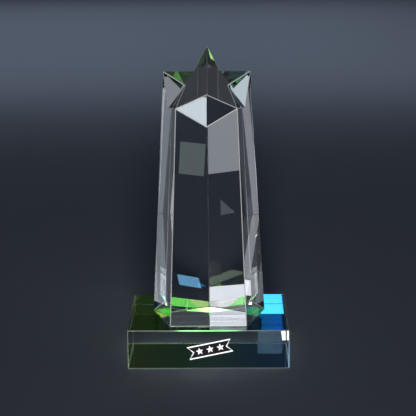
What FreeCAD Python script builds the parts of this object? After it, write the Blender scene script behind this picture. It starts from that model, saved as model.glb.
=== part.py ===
import FreeCAD, Part

import math
import os

# A crystal star award: a tapered five-sided column of clear crystal with a slanted, star-cut top,
# bonded to a rectangular crystal base. The base's underside carries an iridescent film, and its front
# face a small printed ribbon emblem.
# Millimetres, +Z up. The origin is the centre of the underside. The award faces -Y.

# Base
base_width = 101.0
base_depth = 70.0
base_height = 25.4  # from the surface the award stands on to the base's top, film included
base_bevel = 0.5
film_thickness = 0.1

# Column: a regular taper, so every level is the same section at another scale
bond_thickness = 0.1
bond_share = 0.982  # the bond's outline over the column foot's, so that it stays within the flat face
back_corner_y = 27.2
side_corner_x = 36.1
side_corner_y = 3.2
front_corner_x = 24.0
front_corner_y = -28.0
taper_per_mm = 0.0016  # share of the section lost in each millimetre of height
column_bevel = 0.4

# Star-cut top: a plane that slopes down to the front, and a V-shaped notch in each side face.
# Each notch has its inner corner, given in the section at the column's foot, and the height at which
# it runs out, in the middle of the side face.
top_height_on_axis = 180.0
top_slope_deg = 38.3
back_notch = (11.0, 3.3, 167.5)
side_notch = (17.2, -9.2, 161.2)
front_notch = (0.0, -17.0, 151.6)
notch_overcut = 1.3  # size of a notch's cutter over the notch itself
star_bevel = 0.3

# Printed emblem: a white ribbon with swallow-tail ends, under black ink that leaves a white border
# and a row of white stars
emblem_centre_x = 1.0
emblem_centre_z = 13.0
emblem_tilt_deg = 12.0
ribbon_length = 28.0
ribbon_height = 8.6
ribbon_tail_depth = 3.2
ribbon_border = 0.8
star_count = 3
star_spacing = 6.6
star_radius = 2.5
star_inner_radius = 1.05
ink_thickness = 0.03

column_foot = base_height + bond_thickness
top_rise = math.tan(math.radians(top_slope_deg))


def mirrored(feature):
    """A corner or notch on the other side of the award's middle plane."""
    return (-feature[0], *feature[1:])


# Both lists go round from the back to the right. Notch i lies between corners i and i + 1.
side_corner = (side_corner_x, side_corner_y)
front_corner = (front_corner_x, front_corner_y)
corners = [(0.0, back_corner_y), side_corner, front_corner, mirrored(front_corner), mirrored(side_corner)]
notches = [back_notch, side_notch, front_notch, mirrored(side_notch), mirrored(back_notch)]


def section_point(point, z):
    """A point of the column's section, carried up the taper from the foot to a height."""
    scale = 1.0 - taper_per_mm * (z - column_foot)
    return FreeCAD.Vector(point[0] * scale, point[1] * scale, z)


def section_outline(z, share=1.0):
    return [section_point((x * share, y * share), z) for x, y in corners]


def point_on_top(point):
    """Where the tapering line through a section point meets the slanted top."""
    rise = point[1] * top_rise
    z = (top_height_on_axis + rise * (1.0 + taper_per_mm * column_foot)) / (1.0 + taper_per_mm * rise)
    return section_point(point, z)


def face_from(outline):
    return Part.Face(Part.makePolygon(outline + outline[:1]))


def solid_from(outlines):
    """A closed solid from the outlines of its flat faces."""
    solid = Part.Solid(Part.Shell([face_from(outline) for outline in outlines]))
    if solid.Volume < 0:
        solid.reverse()
    return solid


def sloped_body():
    """The column before its notches are cut: a bevelled pentagonal taper under the slanted top."""
    foot = section_outline(column_foot)
    tips = [point_on_top(corner) for corner in corners]
    full_top = section_outline(max(tip.z for tip in tips))
    sides = [[foot[i - 1], foot[i], full_top[i], full_top[i - 1]] for i in range(len(corners))]
    body = solid_from([foot, full_top] + sides)
    top_edges = [edge for edge in body.Edges if edge.BoundBox.ZMin > column_foot + column_bevel]
    bevelled = [edge for edge in body.Edges if not any(edge.isSame(top) for top in top_edges)]
    body = body.makeChamfer(column_bevel, bevelled)
    above = Part.makeBox(base_width, 2 * base_width, base_width)
    above.translate(FreeCAD.Vector(-base_width / 2, -base_width, 0))
    above.rotate(FreeCAD.Vector(0, 0, 0), FreeCAD.Vector(1, 0, 0), top_slope_deg)
    above.translate(FreeCAD.Vector(0, 0, top_height_on_axis))
    return body.cut(above)


def notch_cutter(tip_pair, inner, foot):
    """The wedge between a notch's two facets, grown about its valley so that it clears the column."""
    middle = (inner + foot) / 2
    grown = [middle + (point - middle) * notch_overcut for point in (inner, foot, *tip_pair)]
    return solid_from([grown[:k] + grown[k + 1 :] for k in range(4)])


def square_to(step, along):
    """The share of a step that is square to a unit direction."""
    return step - along * step.dot(along)


def bevel_sliver(tip, end, offsets, mitre_normal):
    """The three-sided sliver cut off along an edge, from beyond the star's tip to the mitre at its end."""
    along = (end - tip).normalize()
    outside = (offsets[0] + offsets[1]) * -1
    starts = [tip + offset - along for offset in offsets + [outside]]
    ends = [start + along * ((end - start).dot(mitre_normal) / along.dot(mitre_normal)) for start in starts]
    sides = [[starts[k - 1], starts[k], ends[k], ends[k - 1]] for k in range(3)]
    return solid_from([starts, ends] + sides)


def corner_slivers(tip_pair, end, face_point, valley_end):
    """Slivers for the two edges from a notch corner to the star's tips beside it.

    Both edges border the flat face that face_point lies on. Their bevels have the same width there and
    meet the notch's valley in the same point, so they are mitred on the line between the two.
    """
    valley_step = (valley_end - end).normalize() * star_bevel
    offsets = []
    for tip in tip_pair:
        along = (end - tip).normalize()
        on_face = square_to(face_point - end, along).normalize() * star_bevel
        offsets.append([on_face, square_to(valley_step, along)])
    mitre_normal = valley_step.cross(offsets[0][0] + offsets[1][0]).normalize()
    return [bevel_sliver(tip, end, pair, mitre_normal) for tip, pair in zip(tip_pair, offsets)]


def crystal_column():
    """The star-cut column. Every edge has a fine polished bevel, but for the five notch valleys."""
    tips = [point_on_top(corner) for corner in corners]
    star_centre = FreeCAD.Vector(0, 0, top_height_on_axis)
    wedges = []
    slivers = []
    for i, corner in enumerate(corners):
        j = (i + 1) % len(corners)
        inner = point_on_top(notches[i])
        side_middle = ((corner[0] + corners[j][0]) / 2, (corner[1] + corners[j][1]) / 2)
        notch_foot = section_point(side_middle, notches[i][2])
        side_foot = section_point(side_middle, column_foot)
        tip_pair = (tips[i], tips[j])
        wedges.append(notch_cutter(tip_pair, inner, notch_foot))
        slivers += corner_slivers(tip_pair, inner, star_centre, notch_foot)
        slivers += corner_slivers(tip_pair, notch_foot, side_foot, inner)
    return sloped_body().cut(wedges).cut(slivers)


def adhesive_layer():
    """The clear bond between the column's foot and the base."""
    outline = section_outline(column_foot, bond_share)
    return face_from(outline).extrude(FreeCAD.Vector(0, 0, -bond_thickness))


def crystal_base():
    """The base block, bevelled along all its edges, with the film under it."""
    block = Part.makeBox(base_width, base_depth, base_height - film_thickness)
    block.translate(FreeCAD.Vector(-base_width / 2, -base_depth / 2, film_thickness))
    return block.makeChamfer(base_bevel, block.Edges)


def iridescent_film():
    """The coating on the flat of the base's underside, which the award stands on."""
    film = Part.makeBox(base_width - 2 * base_bevel, base_depth - 2 * base_bevel, film_thickness)
    film.translate(FreeCAD.Vector(base_bevel - base_width / 2, base_bevel - base_depth / 2, 0))
    return film


def printed(outline, layer):
    """An ink layer on the base's front, from an outline round the emblem's centre; layer 0 is lowest."""
    points = [FreeCAD.Vector(x, 0, z) for x, z in outline]
    ink = face_from(points).extrude(FreeCAD.Vector(0, -ink_thickness, 0))
    ink.rotate(FreeCAD.Vector(0, 0, 0), FreeCAD.Vector(0, 1, 0), -emblem_tilt_deg)
    ink.translate(FreeCAD.Vector(emblem_centre_x, -base_depth / 2 - layer * ink_thickness, emblem_centre_z))
    return ink


def ribbon(border):
    """Outline of the swallow-tailed ribbon, drawn in from its full size by a border."""
    end = ribbon_length / 2 - border
    top = ribbon_height / 2 - border
    tail = end - ribbon_tail_depth
    return [(-end, -top), (end, -top), (tail, 0), (end, top), (-end, top), (-tail, 0)]


def star(centre_x):
    """Outline of a printed star, with one point up."""
    outline = []
    for k in range(10):
        radius = star_inner_radius if k % 2 else star_radius
        angle = math.radians(90 + 36 * k)
        outline.append((centre_x + radius * math.cos(angle), radius * math.sin(angle)))
    return outline


def emblem_white_ink():
    return printed(ribbon(0), 0)


def emblem_black_ink():
    first_star = -star_spacing * (star_count - 1) / 2
    stars = [printed(star(first_star + k * star_spacing), 1) for k in range(star_count)]
    return printed(ribbon(ribbon_border), 1).cut(stars)


PARTS = {
    "crystal_column": crystal_column,
    "adhesive_layer": adhesive_layer,
    "crystal_base": crystal_base,
    "iridescent_film": iridescent_film,
    "emblem_white_ink": emblem_white_ink,
    "emblem_black_ink": emblem_black_ink,
}

os.makedirs("parts", exist_ok=True)
for name, make in PARTS.items():
    shape = make()
    if len(shape.Solids) == 1:
        shape = shape.Solids[0]
    shape.exportStep(f"parts/{name}.step")
    print(name, "solids", len(shape.Solids), "valid", shape.isValid(), "volume", round(shape.Volume, 1))
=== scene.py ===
import math

import bpy
from mathutils import Matrix, Vector


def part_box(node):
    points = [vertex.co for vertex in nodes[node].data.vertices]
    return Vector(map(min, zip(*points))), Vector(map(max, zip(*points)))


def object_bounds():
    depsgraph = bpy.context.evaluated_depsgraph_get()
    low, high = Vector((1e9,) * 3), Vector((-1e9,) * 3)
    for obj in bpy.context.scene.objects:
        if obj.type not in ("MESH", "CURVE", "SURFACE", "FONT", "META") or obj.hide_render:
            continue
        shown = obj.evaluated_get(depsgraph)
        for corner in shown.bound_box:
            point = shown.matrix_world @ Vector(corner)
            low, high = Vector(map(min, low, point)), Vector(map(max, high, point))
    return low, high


# The crystal star award on a pale floor. Everything is in metres, in the CAD frame.

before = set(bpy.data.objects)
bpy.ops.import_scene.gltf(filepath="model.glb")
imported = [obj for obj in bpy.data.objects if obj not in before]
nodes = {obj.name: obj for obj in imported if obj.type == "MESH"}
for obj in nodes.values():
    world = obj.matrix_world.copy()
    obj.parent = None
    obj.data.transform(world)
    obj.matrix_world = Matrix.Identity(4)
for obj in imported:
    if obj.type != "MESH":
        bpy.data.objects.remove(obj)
cad_low, cad_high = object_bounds()

# Camera
AIM_SHARE_OF_HEIGHT = 0.486
CAMERA_DISTANCE = 0.8024
CAMERA_PITCH = math.radians(14.87)
CAMERA_YAW = math.radians(1.016)
CAMERA_ROLL = math.radians(-0.573)
LENS_MM = 109.54
SENSOR_MM = 36

# Telling the faces of a piece apart
SKIN = 0.00002  # how far from a flat face a point still counts as on it
WIDEST_BEVEL = 0.0012  # the faces in one direction are bevels if they are narrower than this on average
SAME_DIRECTION = 0.9995  # cosine above which two directions count as one
NORMAL_DIGITS = 3
UPRIGHT = 0.5  # a face is upright if its normal rises or falls by less than this

# Noise textures and the sockets of a node that mixes colours
NOISE_DETAIL = 3.0
NOISE_SPAN = (0.3, 0.7)  # the part of the noise's own range that is spread over the range asked for
COLOUR_A = 6
COLOUR_B = 7
COLOUR_RESULT = 2

# Crystal: ground on its bevels, polished elsewhere. A pair for a roughness is the range it varies over.
CRYSTAL_IOR = 1.517
COLUMN_TINT = (0.985, 0.995, 0.995)
BASE_TINT = (0.98, 0.99, 0.988)
COLUMN_BEVEL_WHITENESS = 0.3
BASE_BEVEL_WHITENESS = 0.15
TINT_PATCH_SIZE = 0.04
BEVEL_ROUGHNESS = (0.24, 0.36)
BEVEL_GRAIN_SIZE = 0.0008
HANDLING_ROUGHNESS = 0.006  # where fingers have dulled the polish
HANDLING_PATCH_SIZE = 0.02

# Adhesive
ADHESIVE_IOR = 1.455
ADHESIVE_CLEAR = (0.96, 0.98, 0.98)
ADHESIVE_CLOUDY = (0.90, 0.94, 0.93)
ADHESIVE_CLOUD_SIZE = 0.006
ADHESIVE_ROUGHNESS = (0.05, 0.2)
ADHESIVE_RIPPLE_SIZE = 0.0015
ADHESIVE_RIPPLE_DEPTH = 0.00002

# Iridescent film
FILM_STOPS = [
    # share of the way from left to right, colour
    (0.0, (0.42, 0.80, 0.04)),
    (0.3, (0.16, 0.66, 0.10)),
    (0.55, (0.30, 0.80, 0.45)),
    (0.75, (0.06, 0.50, 0.72)),
    (1.0, (0.05, 0.45, 1.00)),
]
FILM_DRIFT = 0.05  # how far the colours stray to either side, as a share of the film's width
FILM_DRIFT_SIZE = 0.03
FILM_ROUGHNESS = (0.02, 0.06)
FILM_GRAIN_SIZE = 0.004

# Ink
WHITE_INK = (0.95, 0.95, 0.95)
BLACK_INK = (0.01, 0.01, 0.012)
INK_PATCH_SHADE = 0.93
INK_PATCH_SIZE = 0.002
INK_ROUGHNESS = (0.3, 0.5)
INK_GRAIN_SIZE = 0.0002
INK_GRAIN_DEPTH = 0.00001

# Floor and surroundings
FLOOR_SIZE = 20
FLOOR_DROP = 0.00005  # keeps the floor clear of the film's underside
FLOOR_COLOUR = (0.54, 0.60, 0.72)
FLOOR_ROUGHNESS = 0.9
WORLD_COLOUR = (0.008, 0.010, 0.014)

# Colours of the lights
WHITE = (1.0, 1.0, 1.0)
LAVENDER = (0.88, 0.92, 1.0)
PALE_BLUE = (0.80, 0.92, 1.0)
GREY_GREEN = (0.80, 1.0, 0.98)
ROOM_BLUE = (0.80, 0.88, 1.0)
SKY_BLUE = (0.22, 0.60, 1.0)
OLIVE = (0.75, 1.0, 0.72)
CYAN = (0.35, 0.95, 1.0)
AMBER = (1.0, 0.66, 0.22)
LEAF_GREEN = (0.22, 1.0, 0.14)
YELLOW_GREEN = (0.62, 1.0, 0.30)

# Washes and aimed cards: name, centre, target, width and height, brightness, colour
WASHES = [
    ("front_softbox", (0.12, -4.0, 0.07), (0, 0, 0.03), (0.5, 0.10), 1500, WHITE),
    ("back_wash", (-0.55, 1.6, 0.28), (-0.55, 1.6, 0), (2.2, 1.4), 0.19, ROOM_BLUE),
]
BACK_CARDS = [
    ("back_left_high", (-0.115, 0.2865, 0.175), (0.017, 0.0185, 0.175), (0.05, 0.14), 1.5, LAVENDER),
    ("back_left_low", (-0.115, 0.2865, 0.065), (0.017, 0.0185, 0.065), (0.05, 0.07), 0.26, LAVENDER),
    ("back_right_low", (0.106, 0.289, 0.043), (-0.014, 0.015, 0.043), (0.02, 0.029), 0.09, GREY_GREEN),
    ("back_right_high", (0.106, 0.289, 0.175), (-0.014, 0.015, 0.175), (0.05, 0.14), 0.08, ROOM_BLUE),
]
FOOT_CARDS = [
    ("foot_leaf_green", (0.001, 0.062, 0.040), (0.001, 0.062, 0), (0.016, 0.016), 4.6, LEAF_GREEN),
    ("foot_yellow_green", (0.014, 0.062, 0.040), (0.014, 0.062, 0), (0.010, 0.016), 4.2, YELLOW_GREEN),
    ("foot_white", (-0.013, 0.062, 0.040), (-0.013, 0.062, 0), (0.018, 0.016), 4.6, WHITE),
]
STUDIO_CARDS = [
    ("star_glow", (0.0, -0.75, 1.03), (0, 0, 0.18), (0.5, 0.3), 0.25, ROOM_BLUE),
    ("apex_amber", (0.25, 0.433, 0.916), (0, 0, 0.19), (0.26, 0.26), 1.8, AMBER),
    ("lens_right", (0.075, -0.80, 0.30), (0.04, 0, 0.02), (0.05, 0.12), 2.5, WHITE),
    ("front_right_high", (0.296, -0.814, 0.55), (0, 0, 0.05), (0.26, 0.26), 3.0, LAVENDER),
    ("front_left_high", (-0.296, -0.814, 0.55), (0, 0, 0.05), (0.26, 0.26), 2.0, LAVENDER),
    ("key_right", (0.45, -0.69, 0.76), (0, 0, 0.15), (0.3, 0.4), 3.0, WHITE),
    ("fill_left", (-0.45, -0.80, 0.50), (0, 0, 0.15), (0.2, 0.3), 1.2, WHITE),
    ("overhead", (0.0, 0.0, 1.0), (0, 0, 0), (0.7, 0.7), 0.35, WHITE),
]

# The room that the crystal reflects: dim walls round the award, and a ceiling
ROOM_REACH = 4.0
ROOM_HEIGHT = 3.0
CEILING_BRIGHTNESS = 0.05
WALLS = [
    # name, direction from the award, brightness
    ("room_back", (0, 1), 0.018),
    ("room_left", (-1, 0), 0.035),
    ("room_right", (1, 0), 0.035),
    ("room_front", (0, -1), 0.035),
]

# Cards that lie on the floor, face up. A heading is in degrees clockwise from the back.
FLOOR_CARD_HEIGHT = 0.002
FLOOR_CARDS = [
    # name, centre, heading of its length, width and length, brightness, colour
    ("floor_right_back", (0.064, 0.30), 0, (0.038, 0.06), 0.60, PALE_BLUE),
    ("floor_left", (-0.25, -0.05), 90, (0.05, 0.12), 0.60, PALE_BLUE),
    ("floor_right", (0.265, -0.058), 90, (0.05, 0.08), 0.24, LAVENDER),
    ("floor_behind", (-0.0355, 0.085), 0, (0.043, 0.044), 0.95, LAVENDER),
    ("floor_corner", (0.0530, 0.046), 0, (0.010, 0.022), 1.8, WHITE),
    ("cyan_patch", (-0.108, 0.040), 0, (0.022, 0.012), 1.4, CYAN),
    ("blue_patch", (0.033, 0.118), 20, (0.012, 0.020), 0.50, SKY_BLUE),
    ("olive_patch", (-0.047, 0.121), -60, (0.024, 0.014), 0.11, OLIVE),
]

# Streaks, which show in the column's narrow side faces: a row of narrow cards on the floor and an upright
# row further out. Centres and target are for the right side.
STREAK_WIDTH = 0.007
STREAK_HEADING = 39
FLOOR_STREAK_CENTRE = (0.181, 0.174)
FLOOR_STREAK_LENGTH = 0.30
UPRIGHT_STREAK_CENTRE = (0.282, 0.299, 0.06)
UPRIGHT_STREAK_TARGET = (0.03, -0.012, 0.06)
UPRIGHT_STREAK_HEIGHT = 0.12
STREAKS = [
    # brightness and colour, outwards
    (0.25, ROOM_BLUE),
    (1.6, LAVENDER),
    (0.35, ROOM_BLUE),
    (1.5, LAVENDER),
    (0.9, PALE_BLUE),
    (0.30, ROOM_BLUE),
    (1.8, LAVENDER),
    (0.30, ROOM_BLUE),
]
STREAK_SIDES = [
    # name, side, share of the brightness
    ("left_streak", -1, 1.0),
    ("right_streak", 1, 0.7),
]


class Graph:
    """A material's node tree, with short ways to add and join nodes."""

    def __init__(self, name):
        self.material = bpy.data.materials.new(name)
        self.material.use_nodes = True
        self.nodes = self.material.node_tree.nodes
        self.links = self.material.node_tree.links
        self.surface = self.nodes["Principled BSDF"]

    def feed(self, socket, value):
        """Join a socket to another, or set its value. None leaves it as it is."""
        if isinstance(value, bpy.types.NodeSocket):
            self.links.new(value, socket)
        elif value is not None:
            socket.default_value = value

    def set(self, **values):
        """Feed the surface's sockets, named in lower case with underscores."""
        for name, value in values.items():
            self.feed(self.surface.inputs[name.replace("_", " ").title()], value)

    def math(self, operation, first, second=None):
        node = self.nodes.new("ShaderNodeMath")
        node.operation = operation
        self.feed(node.inputs[0], first)
        self.feed(node.inputs[1], second)
        return node.outputs[0]

    def position(self):
        return self.nodes.new("ShaderNodeTexCoord").outputs["Object"]

    def normal(self):
        return self.nodes.new("ShaderNodeTexCoord").outputs["Normal"]

    def axis(self, vector, name):
        node = self.nodes.new("ShaderNodeSeparateXYZ")
        self.feed(node.inputs[0], vector)
        return node.outputs[name]

    def dot(self, vector, direction):
        node = self.nodes.new("ShaderNodeVectorMath")
        node.operation = "DOT_PRODUCT"
        self.feed(node.inputs[0], vector)
        self.feed(node.inputs[1], direction)
        return node.outputs["Value"]

    def noise(self, size, low, high):
        """Soft cloudy variation between two values, in patches of about a given size in metres."""
        node = self.nodes.new("ShaderNodeTexNoise")
        self.feed(node.inputs["Vector"], self.position())
        node.inputs["Scale"].default_value = 1.0 / size
        node.inputs["Detail"].default_value = NOISE_DETAIL
        spread = self.nodes.new("ShaderNodeMapRange")
        self.feed(spread.inputs["Value"], node.outputs[0])
        spread.inputs["From Min"].default_value = NOISE_SPAN[0]
        spread.inputs["From Max"].default_value = NOISE_SPAN[1]
        spread.inputs["To Min"].default_value = low
        spread.inputs["To Max"].default_value = high
        return spread.outputs[0]

    def bump(self, height, depth):
        """Fine relief. Its depth, in metres, is how far a height of 1 stands out."""
        node = self.nodes.new("ShaderNodeBump")
        node.inputs["Distance"].default_value = depth
        self.feed(node.inputs["Height"], height)
        self.feed(self.surface.inputs["Normal"], node.outputs[0])

    def mix(self, factor, first, second):
        node = self.nodes.new("ShaderNodeMix")
        node.data_type = "RGBA"
        self.feed(node.inputs[0], factor)
        self.feed(node.inputs[COLOUR_A], first)
        self.feed(node.inputs[COLOUR_B], second)
        return node.outputs[COLOUR_RESULT]

    def ramp(self, factor, stops):
        node = self.nodes.new("ShaderNodeValToRGB")
        self.feed(node.inputs[0], factor)
        elements = node.color_ramp.elements
        while len(elements) < len(stops):
            elements.new(0.5)
        for element, (place, colour) in zip(elements, stops):
            element.position = place
            element.color = (*colour, 1.0)
        return node.outputs[0]


def flat_normals(name):
    """The directions that a node's faces face, without those of its narrow bevels."""
    mesh = nodes[name].data
    areas = {}
    corners = {}
    for face in mesh.polygons:
        key = tuple(round(part, NORMAL_DIGITS) for part in face.normal)
        areas[key] = areas.get(key, 0) + face.area
        corners.setdefault(key, []).extend(mesh.vertices[index].co for index in face.vertices)
    wide = []
    for key, points in corners.items():
        length = max((point - points[0]).length for point in points)
        if areas[key] > WIDEST_BEVEL * length:
            wide.append(Vector(key).normalized())
    return wide


def bevel_mask(graph, name):
    """1 on a node's bevels, which face another way than its flat faces; seen from inside too."""
    normal = graph.normal()
    nearest = 0.0
    for direction in flat_normals(name):
        nearest = graph.math("MAXIMUM", nearest, graph.math("ABSOLUTE", graph.dot(normal, direction)))
    return graph.math("LESS_THAN", nearest, SAME_DIRECTION)


def foot_mask(graph):
    """1 on the column's foot, which stands on the adhesive."""
    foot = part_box("crystal_column")[0].z
    return graph.math("LESS_THAN", graph.axis(graph.position(), "Z"), foot + SKIN)


def bond_mask(graph):
    """1 on the part of the base's top that lies under the adhesive."""
    base_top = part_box("crystal_base")[1].z
    mask = graph.math("GREATER_THAN", graph.axis(graph.position(), "Z"), base_top - SKIN)
    for face in nodes["adhesive_layer"].data.polygons:
        if abs(face.normal.z) < UPRIGHT:
            outwards = graph.dot(graph.position(), face.normal)
            inside = graph.math("LESS_THAN", outwards, face.normal.dot(face.center))
            mask = graph.math("MULTIPLY", mask, inside)
    return mask


def clear_colour(graph, tint):
    """The crystal's tint, a touch deeper in cloudy patches."""
    deeper = [part * part for part in tint]
    return graph.mix(graph.noise(TINT_PATCH_SIZE, 0.0, 1.0), (*tint, 1), (*deeper, 1))


def crystal(name, node, tint, whiteness, bonded):
    """Clear crystal with finely ground bevels. Where it is bonded, light meets adhesive, not air."""
    graph = Graph(name)
    bevel = bevel_mask(graph, node)
    ground = graph.math("MULTIPLY", bevel, graph.noise(BEVEL_GRAIN_SIZE, *BEVEL_ROUGHNESS))
    handled = graph.noise(HANDLING_PATCH_SIZE, -HANDLING_ROUGHNESS, HANDLING_ROUGHNESS)
    polished = graph.math("MAXIMUM", 0.0, handled)
    graph.set(
        base_color=clear_colour(graph, tint),
        roughness=graph.math("ADD", ground, polished),
        transmission_weight=graph.math("SUBTRACT", 1.0, graph.math("MULTIPLY", bevel, whiteness)),
    )
    ior = graph.surface.inputs["IOR"]
    ior.default_value = CRYSTAL_IOR
    ior_in_adhesive = CRYSTAL_IOR / ADHESIVE_IOR
    change = graph.math("MULTIPLY", bonded(graph), CRYSTAL_IOR - ior_in_adhesive)
    graph.feed(ior, graph.math("SUBTRACT", CRYSTAL_IOR, change))
    return graph


def column_material():
    graph = crystal("column_crystal", "crystal_column", COLUMN_TINT, COLUMN_BEVEL_WHITENESS, foot_mask)
    return graph.material


def film_colour(graph):
    """The film's colours, which change from left to right and stray a little."""
    low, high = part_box("iridescent_film")
    from_left = graph.math("SUBTRACT", graph.axis(graph.position(), "X"), low.x)
    across = graph.math("DIVIDE", from_left, high.x - low.x)
    uneven = graph.math("ADD", across, graph.noise(FILM_DRIFT_SIZE, -FILM_DRIFT, FILM_DRIFT))
    return graph.ramp(uneven, FILM_STOPS)


def base_material():
    """The base's underside is the film's mirror from inside, and open to the film from outside."""
    graph = crystal("base_crystal", "crystal_base", BASE_TINT, BASE_BEVEL_WHITENESS, bond_mask)
    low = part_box("crystal_base")[0]
    coated = graph.math("LESS_THAN", graph.axis(graph.position(), "Z"), low.z + SKIN)
    inside = graph.nodes.new("ShaderNodeNewGeometry").outputs["Backfacing"]
    outside = graph.math("MULTIPLY", coated, graph.math("SUBTRACT", 1.0, inside))
    graph.set(
        base_color=graph.mix(coated, clear_colour(graph, BASE_TINT), film_colour(graph)),
        metallic=coated,
        alpha=graph.math("SUBTRACT", 1.0, outside),
    )
    return graph.material


def adhesive_material():
    """Only the adhesive's rim shows: above and below it, the crystal's faces already bend the light."""
    graph = Graph("clear_adhesive")
    rise = graph.math("ABSOLUTE", graph.axis(graph.normal(), "Z"))
    cloud = graph.noise(ADHESIVE_CLOUD_SIZE, 0.0, 1.0)
    ripple = graph.noise(ADHESIVE_RIPPLE_SIZE, *ADHESIVE_ROUGHNESS)
    graph.set(
        base_color=graph.mix(cloud, (*ADHESIVE_CLEAR, 1), (*ADHESIVE_CLOUDY, 1)),
        roughness=ripple,
        transmission_weight=1.0,
        alpha=graph.math("LESS_THAN", rise, UPRIGHT),
    )
    graph.bump(ripple, ADHESIVE_RIPPLE_DEPTH)
    graph.surface.inputs["IOR"].default_value = ADHESIVE_IOR
    return graph.material


def film_material():
    """The film from outside. Its top is clear, because the base's underside shows it from inside."""
    graph = Graph("iridescent_film")
    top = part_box("iridescent_film")[1].z
    graph.set(
        base_color=film_colour(graph),
        metallic=1.0,
        roughness=graph.noise(FILM_GRAIN_SIZE, *FILM_ROUGHNESS),
        alpha=graph.math("LESS_THAN", graph.axis(graph.position(), "Z"), top - SKIN),
    )
    return graph.material


def ink_material(name, colour):
    """Printed ink: a fine grain from the screen, and patches a little darker than others."""
    graph = Graph(name)
    darker = [INK_PATCH_SHADE * part for part in colour]
    grain = graph.noise(INK_GRAIN_SIZE, *INK_ROUGHNESS)
    graph.set(
        base_color=graph.mix(graph.noise(INK_PATCH_SIZE, 0.0, 1.0), (*colour, 1), (*darker, 1)),
        roughness=grain,
    )
    graph.bump(grain, INK_GRAIN_DEPTH)
    return graph.material


MATERIALS = {
    "crystal_column": column_material(),
    "crystal_base": base_material(),
    "adhesive_layer": adhesive_material(),
    "iridescent_film": film_material(),
    "emblem_white_ink": ink_material("white_ink", WHITE_INK),
    "emblem_black_ink": ink_material("black_ink", BLACK_INK),
}
for name, material in MATERIALS.items():
    nodes[name].material_slots[0].material = material


def add_floor():
    bpy.ops.mesh.primitive_plane_add(size=FLOOR_SIZE, location=(0, 0, cad_low.z - FLOOR_DROP))
    floor = bpy.context.object
    floor.name = "floor"
    graph = Graph("floor")
    graph.set(base_color=(*FLOOR_COLOUR, 1), roughness=FLOOR_ROUGHNESS)
    graph.surface.inputs["Specular IOR Level"].default_value = 0.0
    floor.data.materials.append(graph.material)


def add_world():
    world = bpy.data.worlds.new("studio")
    world.use_nodes = True
    world.node_tree.nodes["Background"].inputs["Color"].default_value = (*WORLD_COLOUR, 1)
    bpy.context.scene.world = world


def facing(location, target):
    """The turn that points a light at a target."""
    return (Vector(target) - Vector(location)).to_track_quat("-Z", "Y").to_euler()


def add_light(name, location, turn, size, brightness, colour):
    """A soft light, which the camera doesn't see. Its brightness is what a ray that meets it sees."""
    data = bpy.data.lights.new(name, "AREA")
    data.shape = "RECTANGLE"
    data.size, data.size_y = size
    data.energy = brightness * math.pi * size[0] * size[1]
    data.color = colour
    light = bpy.data.objects.new(name, data)
    light.location = location
    light.rotation_euler = turn
    light.visible_camera = False
    bpy.context.scene.collection.objects.link(light)
    return light


def add_wash(name, location, target, size, brightness, colour):
    """A light on matt surfaces only: it shows in no reflection and not through the crystal."""
    wash = add_light(name, location, facing(location, target), size, brightness, colour)
    wash.visible_glossy = False
    wash.visible_transmission = False


def add_card(name, location, target, size, brightness, colour):
    """A light that shows in reflections and through the crystal, and doesn't fall on matt surfaces."""
    card = add_light(name, location, facing(location, target), size, brightness, colour)
    card.visible_diffuse = False


def add_floor_card(name, location, heading, size, brightness, colour):
    """A card that lies face up just above the floor, its length along a heading."""
    turn = Matrix.Rotation(math.radians(-heading), 4, "Z") @ Matrix.Rotation(math.pi, 4, "X")
    card = add_light(name, (*location, FLOOR_CARD_HEIGHT), turn.to_euler(), size, brightness, colour)
    card.visible_diffuse = False


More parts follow.
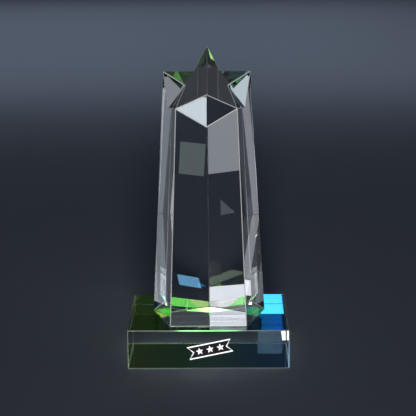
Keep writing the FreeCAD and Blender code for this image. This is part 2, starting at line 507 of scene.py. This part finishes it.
def add_streaks(name, side, share):
    """Rows of parallel cards on one side of the award: side is -1 at the left, 1 at the right."""
    heading = side * STREAK_HEADING
    across = Vector((side * math.cos(math.radians(heading)), -side * math.sin(math.radians(heading)), 0))
    mirror = Vector((side, 1, 1))
    floor_centre = Vector((*FLOOR_STREAK_CENTRE, 0)) * mirror
    upright_centre = Vector(UPRIGHT_STREAK_CENTRE) * mirror
    upright_target = Vector(UPRIGHT_STREAK_TARGET) * mirror
    for i, (brightness, colour) in enumerate(STREAKS):
        offset = across * ((i - (len(STREAKS) - 1) / 2) * STREAK_WIDTH)
        place = (floor_centre + offset).xy
        size = (STREAK_WIDTH, FLOOR_STREAK_LENGTH)
        add_floor_card(f"{name}_floor_{i}", place, heading, size, brightness * share, colour)
        size = (STREAK_WIDTH, UPRIGHT_STREAK_HEIGHT)
        ends = (upright_centre + offset, upright_target + offset)
        add_card(f"{name}_upright_{i}", *ends, size, brightness * share, colour)


def room_cards():
    """The room's walls and ceiling, as rows like those of the other aimed cards."""
    width = 2 * ROOM_REACH
    middle = ROOM_HEIGHT / 2
    cards = []
    for name, (x, y), brightness in WALLS:
        centre = (x * ROOM_REACH, y * ROOM_REACH, middle)
        cards.append((name, centre, (0, 0, middle), (width, ROOM_HEIGHT), brightness, ROOM_BLUE))
    ceiling = ((0, 0, ROOM_HEIGHT), (0, 0, 0), (width, width))
    cards.append(("room_ceiling", *ceiling, CEILING_BRIGHTNESS, ROOM_BLUE))
    return cards


def add_lights():
    for wash in WASHES:
        add_wash(*wash)
    for card in BACK_CARDS + room_cards() + FOOT_CARDS + STUDIO_CARDS:
        add_card(*card)
    for card in FLOOR_CARDS:
        add_floor_card(*card)
    for side in STREAK_SIDES:
        add_streaks(*side)


def add_camera():
    data = bpy.data.cameras.new("camera")
    data.lens = LENS_MM
    data.sensor_width = SENSOR_MM
    camera = bpy.data.objects.new("camera", data)
    target = Vector((0, 0, cad_low.z + AIM_SHARE_OF_HEIGHT * (cad_high.z - cad_low.z)))
    turn = Matrix.Rotation(CAMERA_YAW, 4, "Z") @ Matrix.Rotation(math.pi / 2 - CAMERA_PITCH, 4, "X")
    turn = turn @ Matrix.Rotation(CAMERA_ROLL, 4, "Z")
    camera.matrix_world = Matrix.Translation(target) @ turn @ Matrix.Translation((0, 0, CAMERA_DISTANCE))
    bpy.context.scene.collection.objects.link(camera)
    bpy.context.scene.camera = camera


add_floor()
add_world()
add_lights()
add_camera()
bpy.context.scene.view_settings.view_transform = "Standard"
